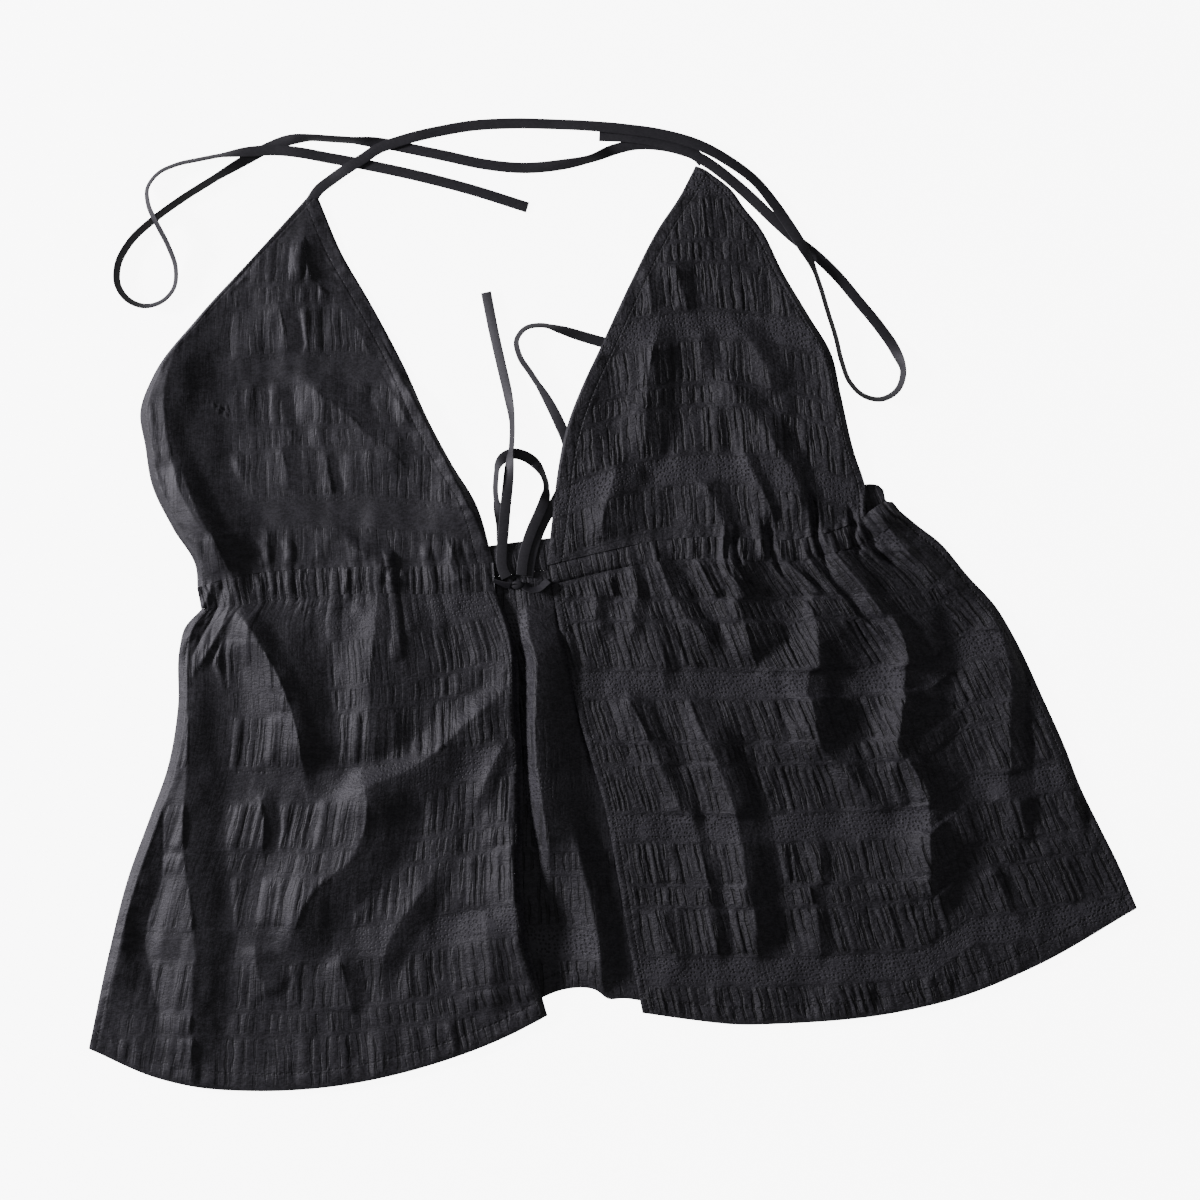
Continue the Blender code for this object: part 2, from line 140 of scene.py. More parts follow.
# Each fold's crest: its height, its reach to the viewer's left and right, then its route downwards
RIDGE_LEFT = (
    (-230, 14), (-216, -4), (-205, -20), (-198, -34), (-193, -48), (-188, -63), (-186, -78), (-184, -96),
)
FOLDS_LEFT = (
    # pinches at the waist's side
    (1.7, 4.5, 5, (-240, 32), (-241, 22), (-247, 8), (-253, -4), (-258, -14)),
    (1.8, 5.5, 6, (-229, 20), (-231, 8), (-236, -4), (-243, -17), (-250, -28)),
    (-1.2, 3, 3, (-234, 34), (-234, 22), (-239, 6), (-247, -8), (-252, -20)),
    # cup
    (8.6, 62, 38, (-252, 186), (-262, 160), (-267, 140), (-266, 120), (-264, 102), (-260, 84), (-252, 68),
     (-244, 55), (-236, 40), (-229, 20)),
    (4.0, 4, 90, (-200, 240), (-222, 216), (-252, 182), (-276, 150), (-284, 127)),
    (2.6, 60, 18, (-182, 256), (-184, 232), (-180, 210), (-166, 193), (-154, 176), (-142, 156)),
    (3.4, 20, 13, (-260, 104), (-256, 88), (-250, 74), (-243, 60), (-235, 46), (-228, 30), (-222, 12)),
    (2.0, 14, 12, (-203, 196), (-198, 180), (-195, 160)),
    (1.8, 14, 10, (-203, 146), (-200, 132), (-198, 116)),
    (4.2, 32, 22, (-192, 152), (-176, 138), (-160, 126), (-146, 114), (-132, 103), (-120, 90)),
    (1.8, 14, 12, (-200, 110), (-196, 96), (-194, 80)),
    (1.5, 10, 9, (-173, 106), (-171, 92), (-168, 78)),
    (2.6, 14, 13, (-180, 56), (-162, 49), (-144, 40), (-132, 28)),
    (2.2, 10, 10, (-94, 52), (-97, 38), (-90, 22)),
    # skirt
    (7.5, 30, 33, *RIDGE_LEFT),
    (2.6, 18, 12, *RIDGE_LEFT),
    (6.0, 27, 46, (-140, 26), (-143, -6), (-146, -36), (-147, -62), (-150, -90)),
    (6.5, 14, 32, (-60, -34), (-74, -47), (-90, -60), (-103, -73), (-118, -84), (-136, -92), (-154, -100),
     (-170, -106)),
    (7.6, 38, 36, (-150, -84), (-146, -104), (-148, -124), (-158, -142), (-176, -156), (-188, -176),
     (-196, -204)),
    (6.4, 36, 28, (-254, -8), (-255, -32), (-254, -60), (-255, -90), (-257, -118), (-256, -145),
     (-252, -168), (-251, -190), (-250, -214), (-252, -244), (-254, -272)),
    (-2.5, 15, 14, (-266, -84), (-269, -108), (-269, -134), (-270, -154), (-277, -172), (-281, -190),
     (-277, -210), (-272, -236), (-272, -262)),
    (5.0, 26, 24, (-271, -86), (-284, -125), (-294, -158), (-303, -195), (-309, -240)),
    (4.2, 32, 3, (-72, 24), (-62, -10), (-60, -50), (-58, -84), (-58, -144), (-56, -182), (-49, -212),
     (-43, -234)),
    (4.2, 55, 3, (-59, -140), (-57, -170), (-52, -200), (-43, -232)),
    # cup's neck edge
    (4.5, 28, 5, (-132, 158), (-114, 124), (-99, 96), (-86, 72), (-77, 48)),
    # skirt's lower half
    (4.0, 22, 12, (-62, -66), (-76, -92), (-84, -112)),
    (2.4, 22, 9, (-64, -104), (-62, -130), (-60, -160), (-58, -190)),
    (4.0, 26, 16, (-102, -144), (-116, -164), (-132, -186), (-140, -214)),
    (2.5, 16, 12, (-212, -98), (-208, -120), (-210, -142)),
    (3.0, 14, 18, (-214, -190), (-212, -206), (-204, -226)),
    (3.0, 24, 16, (-76, -170), (-74, -200), (-72, -234)),
    (2.5, 14, 14, (-166, -196), (-160, -216), (-156, -236)),
)
RIDGE_RIGHT = (
    (114, 68), (130, 47), (145, 28), (160, 10), (173, -8), (177, -30), (172, -55), (171, -74), (181, -90),
    (189, -108), (190, -134), (193, -158), (198, -180),
)
FOLDS_RIGHT = (
    # pinches at the waist
    (2.4, 4, 3, (67, 60), (66.5, 50), (66.5, 40), (69, 31), (76, 24), (80, 18)),
    (-2.6, 2.6, 3.4, (74.5, 60), (74, 50), (75, 40), (80, 30), (88, 20)),
    (1.8, 3.5, 3, (76, 38), (79, 32), (82, 25)),
    (2.8, 7, 4.5, (113, 50), (119, 38), (127, 28), (136, 18), (145, 6), (155, -4), (167, -15)),
    (-4.0, 3.5, 4, (115, 86), (119, 76), (121, 64), (123, 50), (128, 38), (131, 30)),
    (-3.2, 3, 4.5, (142, 72), (144, 62), (145, 52), (148, 40)),
    (-2.6, 3, 4, (150, 62), (155, 52), (160, 43), (168, 38), (175, 35)),
    (2.6, 8, 6, (153, 76), (160, 66), (167, 56), (175, 46), (184, 36)),
    (-2.2, 3, 4, (94, 64), (95, 52), (98, 40), (104, 28)),
    (2.0, 5, 4, (88, 62), (89, 50), (92, 38)),
    # cup
    (2.6, 4, 34, (-12, 158), (-22, 132), (-30, 106), (-34, 80)),
    (3.8, 20, 20, (30, 184), (24, 160), (21, 135), (20, 112), (14, 94)),
    (4.2, 17, 28, (4, 104), (-1, 84), (-6, 66), (-6, 48)),
    (4.6, 32, 15, (62, 154), (80, 132), (95, 112), (106, 92), (114, 72), (120, 56)),
    (3.0, 18, 16, (70, 184), (83, 168), (92, 152), (98, 134)),
    (3.0, 28, 8, (94, 220), (115, 186), (131, 154), (139, 122), (148, 88)),
    (2.6, 9, 9, (76, 108), (83, 92), (91, 76), (98, 60)),
    (2.6, 10, 12, (50, 88), (60, 78), (65, 62), (70, 48)),
    (1.6, 9, 10, (52, 180), (55, 166), (57, 152)),
    (1.5, 9, 9, (20, 216), (24, 200), (25, 186)),
    (1.5, 9, 9, (38, 218), (43, 202), (48, 186)),
    (1.5, 9, 9, (80, 216), (84, 200), (89, 184)),
    # skirt
    (3.0, 14, 10, (10, 42), (15, 24), (13, 8), (8, -10)),
    (2.2, 12, 10, (-12, 24), (-8, 10), (-14, -6)),
    (4.5, 15, 13, (24, 48), (32, 28), (40, 10), (52, -4), (64, -20)),
    (3.0, 10, 10, (50, 40), (58, 26), (64, 14)),
    (6.5, 20, 26, (68, 52), (74, 26), (78, 4), (82, -14), (88, -28)),
    (4.4, 80, 34, (96, -10), (107, -28), (113, -46), (111, -62), (104, -82)),
    (3.0, 40, 12, (22, 18), (27, -4), (30, -24), (35, -46)),
    (6.5, 18, 32, (114, 34), (119, 8), (120, -20), (118, -48), (124, -72), (138, -88), (154, -104),
     (170, -124)),
    (2.4, 11, 9, (88, 56), (104, 38), (122, 22), (140, 4), (154, -14)),
    (7.0, 22, 38, *RIDGE_RIGHT),
    (3.4, 14, 13, *RIDGE_RIGHT),
    (5.0, 32, 16, (222, 22), (234, -8), (238, -32), (238, -60), (240, -90), (246, -126)),
    (2.5, 14, 6, (254, -24), (266, -64), (276, -96), (284, -124)),
    (3.5, 15, 14, (154, 82), (168, 60), (182, 42), (198, 27), (220, 14)),
    (4.4, 16, 15, (4, -34), (17, -56), (26, -78), (38, -102), (50, -128)),
    (7.0, 22, 22, (40, -36), (54, -66), (68, -92), (76, -118), (79, -145), (83, -172), (87, -210)),
    (2.6, 70, 18, (186, -116), (188, -142), (191, -172)),
    (2.4, 20, 10, (120, -124), (123, -165), (127, -210)),
    (3.4, 26, 11, (52, -132), (57, -156), (60, -180), (62, -206)),
    (2.0, 12, 12, (24, -172), (32, -190), (38, -212)),
    (2.0, 12, 10, (224, -140), (236, -160), (246, -184)),
)
FOLDS_BACK = (
    (12.0, 10, 38, (-54, 16), (-51.5, 8), (-50.5, -6), (-46.5, -20), (-46.5, -35), (-46.5, -55),
     (-46, -72), (-44.5, -92), (-42, -109), (-39, -128), (-38, -145), (-38, -160)),
    (7.0, 20, 16, (-24, -122), (-19, -142), (-13, -165), (-8.5, -190), (-6, -224)),
    (-3.5, 3, 4, (-36, 24), (-30, -6), (-24, -32), (-19, -56), (-12, -80), (-5, -104), (5, -156),
     (14, -208), (19, -232)),
)

# A ribbon's route: x and y, then the lift of its underside and its roll in degrees, 0 lying flat and 90 on
# edge. Either is left out where it is 0.
NECK_TIE_LEFT = (
    (-180.8, 255.6), (-177.2, 261), (-169.6, 267.2), (-159.2, 274.2, 1.6), (-149.4, 280.4, 1.6),
    (-141, 286, 1.6), (-130, 290, 1.6), (-118, 293.5, 1.6), (-103, 297, 0.6), (-86, 300), (-62, 301.5),
    (-36, 301, 0, 10), (-18, 300, 1.6, 10), (8, 297.6, 3.1), (30, 294.4, 3.1), (52, 288, 3.1),
    (70, 278.5, 1.6, 10), (86, 266.5, 0.6, 20), (97, 253, 1.6, 10), (106, 240, 1.6), (113, 229, 1.6, 10),
    (119, 218, 1.6, 45), (124.5, 204, 0, 80), (129, 189, 0, 85), (134, 173, 0, 80), (137.7, 158, 0, 70),
    (142.4, 146, 0, 65), (151, 137.6, 0, 70), (161, 135.5, 0, 80), (171, 141, 0, 90), (174.6, 152, 0, 70),
    (170, 165, 0, 20), (161, 178.6), (148.4, 194), (135, 210), (122, 222.5), (110, 232),
    (96, 244.5, 0, 10), (84, 256, 0.4, 10), (72, 266.5, 1.6), (59, 276.5, 1.6), (46, 284, 1.6),
    (30, 289.8, 1.6), (10, 293, 1.6), (-8, 294, 0.6),
)
NECK_TIE_RIGHT = (
    (54.5, 278), (51, 281.8), (42, 285.4), (30, 288.2), (14, 288.8), (1, 285.8, 0, 5), (-12, 280.4, 0, 50),
    (-32, 276.4, 0, 20), (-53, 274.8), (-78, 277.2), (-100, 281.9), (-120, 286), (-138, 289.5),
    (-153, 290.8, 0, 55), (-168, 291.8, 0, 78), (-184, 292.6, 0, 55), (-197, 290.8, 0, 10), (-209, 286),
    (-222, 278.5, 0, 30), (-240, 267.5, 0, 65), (-259, 255.5, 0, 72), (-276, 243, 0, 65),
    (-290, 229.5, 0, 88), (-297, 216, 0, 90), (-297, 204, 0, 90), (-290.5, 195, 0, 80),
    (-281, 191.5, 0, 70), (-271, 194, 0, 75), (-263.5, 202, 0, 85), (-262, 214, 1.5, 90),
    (-266, 227, 5, 75), (-272.5, 240, 7, 65), (-278, 252, 5, 80), (-279, 262, 1.5, 85), (-273, 271, 0, 75),
    (-263, 276, 0, 65), (-248, 279.5, 0, 85), (-232, 282.5, 0, 55), (-217, 284.4, 1.6, 10),
    (-203, 285.2, 1.6), (-188, 283.8, 1.6), (-172, 281, 0.4), (-154, 277.8), (-136, 274.2), (-112, 268.8),
    (-86, 262), (-51, 251),
)
# The drawstring's visible ends, from the knot at the centre front
BOW_TAIL = (
    (-63.5, 28.5, 3.4), (-66, 34, 3.4), (-66.4, 44, 3.5), (-65.4, 56, 4), (-64.2, 70, 5.4),
    (-62.8, 84, 3.2, 5), (-61.6, 98, 2.2, 40), (-60.4, 110, 1.6, 80), (-60.4, 123, 0, 60),
    (-62.5, 137, 0, 34), (-67, 157, 0, 26), (-71.5, 177, 0, 22), (-76, 200, 0, 14),
)
BOW_LOOP = (
    (-62.5, 29.8, 2.1), (-65.4, 38, 2.1), (-66.3, 50, 1.6), (-67, 62, 0.2), (-69, 71, 0, 40),
    (-70.2, 79, 0, 80), (-70, 88, 0, 85), (-68.6, 96, 0, 45), (-65, 101, 0, 5), (-60, 103), (-54, 102),
    (-48, 98.6, 0, 10), (-43, 92.5, 0, 50), (-39.8, 84, 0, 75), (-40.6, 76, 0.6, 20), (-44, 67, 2.2),
    (-48.4, 57, 3), (-51.8, 47, 3.2), (-53.8, 38, 3.4), (-54.6, 30, 3.4),
)
BOW_TAIL_UNDER = (
    (-50.6, 28.8, 2.1), (-49.4, 38, 2.1), (-47.6, 46, 2.1), (-45, 54, 1.6), (-41, 63), (-35, 73),
    (-29.5, 84), (-26.4, 96), (-27, 109), (-32, 121.5, 0, 10), (-40, 137, 0, 40), (-49, 151, 0, 80),
    (-56, 162, 0, 88), (-57.6, 171, 0, 88), (-52.5, 178, 0, 88), (-43.5, 180, 0, 80), (-32, 177.6, 0, 40),
    (-20, 174, 0, 10), (-6, 170), (10, 166), (26, 162),
)
DRAWSTRING_LEFT = ((-61.5, 23.6, 1.6, 55), (-65.4, 24.4, 1.6, 60), (-71.5, 26, 1.4, 60))
DRAWSTRING_RIGHT = (
    (-53, 23.4, 2.1, 40), (-49.5, 21.2, 2.1, 55), (-45.5, 21.2, 2.1, 55), (-38.5, 26.5, 1.5, 50),
)

# How strongly the drawstring gathers the cloth, by the distance along a casing from the centre front
GATHER_LEFT = ((0, 0.7), (30, 1), (60, 1.3), (110, 1.1), (150, 0.8), (185, 0.9))
GATHER_RIGHT = ((0, 0.1), (42, 0.2), (60, 0.4), (130, 0.5), (160, 0.8), (200, 1.3))

# The weave repeats down the cloth in bands. Each has its start and end, the least and most breadth of
# its narrow puckers and how steep they are, and how steep the broad ones are that run with them.
REPEAT = 86.0
Band = namedtuple("Band", "start end least most steep broad")
BANDS = (
    Band(0.0, 15.5, 4.0, 9.0, 0.03, 0.03),
    Band(16.5, 42.0, 2.8, 6.8, 0.19, 0.06),
    Band(43.5, 55.0, 2.6, 5.0, 0.17, 0.04),
    Band(56.5, 84.5, 2.8, 6.8, 0.19, 0.06),
)
PLAIN = BANDS[0]
BROAD = (9.0, 22.0)

# A panel's own ribs: how much broader than the bands say, how much of their steepness, how crisp, and
# how many times they are smoothed
Ribs = namedtuple("Ribs", "breadth steep crisp smoothed")
RIBS_CUP_LEFT = Ribs(2.1, 0.8, 0.35, 9)
RIBS_CUP_RIGHT = Ribs(1.2, 0.8, 0.9, 1)
RIBS_LEFT = Ribs(1.5, 0.95, 0.6, 4)
RIBS_RIGHT = Ribs(1.3, 1.0, 1.0, 0)
RIBS_BACK = Ribs(1.2, 0.3, 0.7, 2)

# On each skirt panel: where a repeat starts, how far the bands are stretched, how much the plain ones
# level the folds, and how they all rise across it
BANDS_LEFT = (-88.0, 1.12, 0.0, ((-320, 0), (-180, 0), (-140, 4), (-110, 8), (-70, 16), (-40, 20)))
BANDS_RIGHT = (
    -28.0, 1.0, 0.3, ((-10, 0), (100, 0), (170, 3), (190, 6), (215, 24), (240, 26), (280, 33), (310, 38)),
)
BANDS_BACK = (-88.0, 1.1, 0.0, ((-320, 0), (320, 0)))

# Colours of the cotton: its threads at their darkest and lightest, and a painted highlight for its plain
# bands
CLOTH_DARK = (0.0057, 0.0051, 0.0073)
CLOTH_LIGHT = (0.0368, 0.0352, 0.0415)
PLAIN_BAND_HIGHLIGHT = (0.0500, 0.0478, 0.0562)
# painted shade: the near-black colour put into pinholes, stitch dips and the grooves of the weave
PAINTED_SHADE_DARK = (0.002, 0.002, 0.002)
TIE_DARK = (0.0140, 0.0134, 0.0163)
TIE_LIGHT = (0.0245, 0.0234, 0.0275)
CLOTH_BUMP = 0.8
TIE_BUMP = 0.10


def placed(x, y, z):
    return (x - MIDDLE[0]) * MM, (y - MIDDLE[1]) * MM, z * MM


def smoothstep(low, high, value):
    share = np.clip((np.asarray(value, float) - low) / (high - low), 0.0, 1.0)
    return share * share * (3.0 - 2.0 * share)


def smooth_line(rows, count):
    """A smooth curve through the rows, read at `count` places evenly spaced along its length."""
    rows = np.array(rows, float)
    knots = np.concatenate([[0.0], np.cumsum(np.hypot(*np.diff(rows[:, :2], axis=0).T))])
    slopes = np.gradient(rows, knots, axis=0)
    fine = np.linspace(0.0, knots[-1], 16 * len(rows))
    span = np.clip(np.searchsorted(knots, fine, side="right") - 1, 0, len(rows) - 2)
    width = (knots[span + 1] - knots[span])[:, None]
    t = (fine[:, None] - knots[span][:, None]) / width
    line = (
        (1 + 2 * t) * (1 - t) ** 2 * rows[span] + t * (1 - t) ** 2 * width * slopes[span]
        + t * t * (3 - 2 * t) * rows[span + 1] - t * t * (1 - t) * width * slopes[span + 1]
    )
    along = np.concatenate([[0.0], np.cumsum(np.hypot(*np.diff(line[:, :2], axis=0).T))])
    places = np.linspace(0.0, along[-1], count)
    return np.stack([np.interp(places, along, column) for column in line.T], axis=1)


def line_length(rows):
    return float(np.hypot(*np.diff(smooth_line(rows, 60)[:, :2], axis=0).T).sum())


def strip_edges(casing, count):
    """Lines along a casing's upper and lower edges."""
    line = smooth_line(casing, count)
    run = np.gradient(line[:, :2], axis=0)
    run /= np.hypot(*run.T)[:, None]
    across = np.stack([-run[:, 1], run[:, 0]], axis=1) * np.sign(run[:, :1])
    half = line[:, 2:3] / 2
    return line[:, :2] + across * half, line[:, :2] - across * half


def distances(points, axis):
    """Millimetres to each point from the first one of its row (axis 1) or column (axis 0)."""
    steps = np.linalg.norm(np.diff(points, axis=axis), axis=-1)
    start = np.zeros_like(steps.take([0], axis=axis))
    return np.concatenate([start, np.cumsum(steps, axis=axis)], axis=axis)


def panel(top, bottom, inner, outer, rows):
    """The points of a panel, and their distances from its inner, outer, top and bottom edges.

    Rows of points run down it, and columns from its inner edge out. The side edges run from end to end
    of the top and bottom ones.
    """
    inner = smooth_line([top[0], *inner[1:-1], bottom[0]], rows)
    outer = smooth_line([top[-1], *outer[1:-1], bottom[-1]], rows)
    u = np.linspace(0.0, 1.0, len(top))[None, :, None]
    v = np.linspace(0.0, 1.0, rows)[:, None, None]
    corners = (
        (1 - u) * (1 - v) * top[0] + u * (1 - v) * top[-1] + (1 - u) * v * bottom[0] + u * v * bottom[-1]
    )
    points = (1 - v) * top + v * bottom + (1 - u) * inner[:, None] + u * outer[:, None] - corners
    across, down = distances(points, 1), distances(points, 0)
    return points, across, across[:, -1:] - across, down, down[-1] - down


def relief(folds, points):
    """The height of the cloth where folds run over it."""
    total = np.zeros(points.shape[:-1])
    for height, left, right, *route in folds:
        route = smooth_line(route, 5 * len(route))
        low, high = route.min(0) - max(left, right), route.max(0) + max(left, right)
        near = ((points > low) & (points < high)).all(-1)
        offset = points[near][:, None, :] - route[:-1]
        leg = np.diff(route, axis=0)
        share = np.clip((offset * leg).sum(-1) / (leg ** 2).sum(-1), 0.0, 1.0)
        gap = offset - share[..., None] * leg
        far = np.hypot(gap[..., 0], gap[..., 1])
        nearest = (np.arange(len(far)), far.argmin(-1))
        on_left = (leg[:, 0] * offset[..., 1] - leg[:, 1] * offset[..., 0])[nearest] < 0
        along = (nearest[1] + share[nearest]) / len(leg)
        ends = smoothstep(0.0, 0.22, along) * smoothstep(1.0, 0.78, along)
        reach = np.where(on_left, left, right) * (0.7 + 0.3 * ends)
        gone = np.clip(far[nearest] / reach, 0.0, 1.0)
        straight = np.where(gone < 0.65, 0.825 - gone, (1.0 - gone) ** 2 / 0.7) / 0.825
        full = 0.6 * straight + 0.2 * (1.0 + np.cos(math.pi * gone))
        crown = np.where(on_left, (1.0 - gone) ** 1.6, full)
        total[near] += height * crown * (0.15 + 0.85 * ends)
    return total


def drift(x, y, cell, seed):
    """A smooth random field between -1 and 1 whose patches are about `cell` wide."""
    table = np.random.default_rng(seed).uniform(-1.0, 1.0, (64, 64))
    x, y = np.asarray(x) / cell + 17.0, np.asarray(y) / cell + 23.0
    i, j = np.floor(x).astype(int), np.floor(y).astype(int)
    s, t = x - i, y - j
    s, t = s * s * (3 - 2 * s), t * t * (3 - 2 * t)
    near, next_row = table[i % 64, j % 64], table[i % 64, (j + 1) % 64]
    beside, across = table[(i + 1) % 64, j % 64], table[(i + 1) % 64, (j + 1) % 64]
    return (1 - s) * ((1 - t) * near + t * next_row) + s * ((1 - t) * beside + t * across)


def puckers(across, down, start, end, breadths, steep, seed, share_up=1.0):
    """Ribs side by side from `start` to `end`: each its own breadth, slant, height and length, or sunk."""
    soft = 1.6
    rng = np.random.default_rng(seed)
    least, most = breadths
    count = int((across.max() - across.min()) / least) + 8
    widths = least + (most - least) * rng.uniform(0.0, 1.0, count) ** 2
    places = across.min() - most + np.concatenate([[0.0], np.cumsum(widths)])
    rises = steep * widths * rng.uniform(0.1, 1.0, count)
    rises = rises * np.where(rng.uniform(0, 1, count) < share_up, 1.0, -0.8)
    peaks = rng.uniform(0.3, 0.7, count)
    starts = start + 0.1 * (end - start) * rng.uniform(0.0, 1.0, count) ** 3
    ends = end - 0.1 * (end - start) * rng.uniform(0.0, 1.0, count) ** 3
    height = np.zeros_like(across)
    inside = (down > start) & (down < end)
    s, t = across[inside], down[inside]
    s = s + 0.35 * least * drift(s, t / 4.0, 3.0 * least, seed + 1)
    rib = np.clip(np.searchsorted(places, s) - 1, 0, count - 1)
    share = np.clip((s - places[rib]) / widths[rib], 0.0, 1.0)
    slope = np.minimum(share / peaks[rib], (1.0 - share) / (1.0 - peaks[rib]))
    window = smoothstep(starts[rib], starts[rib] + soft, t) * smoothstep(ends[rib], ends[rib] - soft, t)
    height[inside] = rises[rib] * window * np.sin(0.5 * math.pi * slope) ** 0.85
    return height


def crinkle(across, down, offset, ribs, seed):
    """The crinkle's height, how plain the weave is, and a count that steps up at each band."""
    height, plain, level = np.zeros((3, *across.shape))
    first = math.floor((down.min() - offset) / REPEAT)
    last = math.ceil((down.max() - offset) / REPEAT)
    for turn in range(first, last + 1):
        for number, band in enumerate(BANDS):
            start, end = offset + turn * REPEAT + band.start, offset + turn * REPEAT + band.end
            level += smoothstep(end - 1.0, end + 2.0, down)
            if end < down.min() or start > down.max():
                continue
            pick = seed + 10 * number + 100 * (turn + 3)
            breadths = (ribs.breadth * band.least, ribs.breadth * band.most)
            height += puckers(across, down, start, end, breadths, ribs.steep * band.steep, pick)
            height += puckers(across, down, start, end, BROAD, ribs.steep * band.broad, pick + 5, 0.6)
            if band is PLAIN:
                plain += smoothstep(start, start + 1.5, down) * smoothstep(end, end - 1.5, down)
    for _ in range(ribs.smoothed):
        wide = np.pad(height, 1, "edge")
        height = height / 2 + (wide[2:, 1:-1] + wide[:-2, 1:-1] + wide[1:-1, 2:] + wide[1:-1, :-2]) / 8
    return height, plain, level


def shifted(points, level, hold, seed):
    """The points, moved a little sideways by an amount of its own in each band, where `hold` lets them."""
    x = points[..., 0]
    across = 3.0 * drift(x, 40.0 * level, 40.0, seed) + 1.5 * drift(x, 15.0 * level, 15.0, seed + 1)
    return points + np.stack([hold * across, 0.0 * across], axis=-1)


def calm(folds, x, y):
    """How much of the crinkle is left: less on a large fold's far side, where the cloth is drawn flat."""
    drop = -np.gradient(folds, axis=1) / np.gradient(x, axis=1)
    from_to = (-170.0, -120.0)
    most = np.interp(x, from_to, (0.85, 0.6)) + np.interp(x, from_to, (0.0, 0.36)) * drift(x, y, 42.0, 91)
    return 1.0 - most * smoothstep(0.0, 0.13, drop)


def patchy(x, y, seed):
    """How strong the crinkle is from one patch of cloth to the next."""
    return np.clip(0.95 + 0.5 * drift(x, y, 24.0, seed), 0.4, 1.4)


def weave_fields(ribs, x, strength):
    """How crisp and how grooved the weave looks, which also sets how much shade is painted into its grooves:
    softer to the left, where the cloth is smoothest.
    """
    crisp = ribs.crisp * np.interp(x, (-260.0, -70.0), (0.5, 1.0))
    return {"crisp": crisp, "grooved": crisp * np.clip(strength, 0, 1)}


def gathers(along, above, strengths, seed):
    """Ribs drawn in by the string, by the run `along` a casing and the way `above` its middle."""
    rng = np.random.default_rng(seed)
    count = 80
    breadths = 2.6 + 7.0 * rng.uniform(0.0, 1.0, count) ** 1.6
    places = np.concatenate([[0.0], np.cumsum(breadths)]) - 8.0
    rises = 0.24 * breadths * rng.uniform(0.2, 1.0, count)
    highest = 4.0 + 22.0 * rng.uniform(0.0, 1.0, count) ** 2
    lowest = 8.0 + 40.0 * rng.uniform(0.0, 1.0, count) ** 2
    s = along + 2.0 * drift(along, above, 24.0, seed + 1) + 0.6 * drift(along, above, 6.0, seed + 2)
    rib = np.clip(np.searchsorted(places, s) - 1, 0, count - 1)
    share = np.clip((s - places[rib]) / breadths[rib], 0.0, 1.0)
    fade = smoothstep(highest[rib] + 4.0, highest[rib], above)
    fade = fade * smoothstep(-lowest[rib] - 6.0, -lowest[rib], above)
    strength = np.interp(along, *zip(*strengths))
    cell = 0.9 + 0.6 * np.exp(-((above / 6.0) ** 2)) - 0.3 * np.exp(-(((np.abs(above) - 10.0) / 3.0) ** 2))
    return strength * rises[rib] * fade * cell * np.sin(math.pi * share) ** 0.8


def gathers_from(drawn, u, away, side, seed):
    """A casing's gathers where they run on into the panel above it (side 1) or below it (-1)."""
    casing_line, reach, strengths = drawn
    half = np.interp(u, (0, 1), (casing_line[0][2] / 2, casing_line[-1][2] / 2))
    return gathers(u * reach * line_length(casing_line), side * (half + away), strengths, seed)


def unevenness(x, y):
    """Small swells, longer down the cloth than across it."""
    return 0.9 * drift(x, y / 1.8, 17.0, 41) + 0.4 * drift(x, y / 1.6, 8.0, 42)


def stitched(edges):
    """The relief of turned hems, with the distance to the nearest stitch line and the run along it."""
    height, nearest, run = 0.0, np.inf, 0.0
    for distance, width, along in edges:
        line = distance - (width - STITCH_INSET)
        along = along + 0.0 * line
        height = height + 0.25 * smoothstep(width + 1.2, width - 0.8, distance)
        height = height - 0.4 * smoothstep(1.6, 0.0, distance) - 0.2 * np.exp(-((line / 1.5) ** 2))
        ripples = 0.5 * drift(along, distance / 2.0, 4.0, 71) * smoothstep(0.0, 3.0, distance)
        height = height + ripples * smoothstep(width + 5.0, width, distance)
        closer = np.abs(line) < np.abs(nearest)
        nearest, run = np.where(closer, line, nearest), np.where(closer, along, run)
    return height, nearest, run


def grid_mesh(name, across, down, half):
    """A flat square mesh with this many faces across and down, reaching `half` from its middle."""
    mesh = bpy.data.meshes.new(name)
    grid = bmesh.new()
    bmesh.ops.create_grid(grid, x_segments=across, y_segments=down, size=half)
    grid.to_mesh(mesh)
    grid.free()
    return mesh


def seen_piece(node, data, slot):
    """The object that shows a mesh or curve in place of a CAD node, in the material of its slot."""
    data.materials.append(cloths[slot])
    body = bpy.data.objects.new(data.name, data)
    scene_objects.link(body)
    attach(body, "root")
    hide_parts(node)
    return body


def sheet_object(node, points, height, **fields):
    """A sheet of cloth: a grid laid over the points at `height`, with fields that its material reads.

    The points' rows run down the sheet, and the grid's run up it.
    """
    height = np.maximum(height, LOWEST)
    rows, columns = height.shape
    mesh = grid_mesh(f"{node}_cloth", columns - 1, rows - 1, 0.5)
    co = np.stack(placed(points[..., 0], points[..., 1], height), axis=-1)
    mesh.vertices.foreach_set("co", co[::-1].ravel())
    for field_name, values in fields.items():
        layer = mesh.attributes.new(field_name, "FLOAT", "POINT")
        values = np.broadcast_to(values, height.shape)[::-1]
        layer.data.foreach_set("value", values.ravel().astype(np.float32))
    mesh.update()
    if mesh.polygons[len(mesh.polygons) // 2].normal.z < 0:
        mesh.flip_normals()
    mesh.shade_smooth()
    edge_of_corner = np.empty(len(mesh.loops), np.int32)
    mesh.loops.foreach_get("edge_index", edge_of_corner)
    border = np.bincount(edge_of_corner, minlength=len(mesh.edges)) == 1
    mesh.attributes.new("sharp_edge", "BOOLEAN", "EDGE").data.foreach_set("value", border)
    body = seen_piece(node, mesh, "crinkled_cotton")
    wall = body.modifiers.new("Cloth", "SOLIDIFY")
    wall.thickness = CLOTH * MM
    wall.offset = -1.0
    wall.use_rim_only = True
    return body


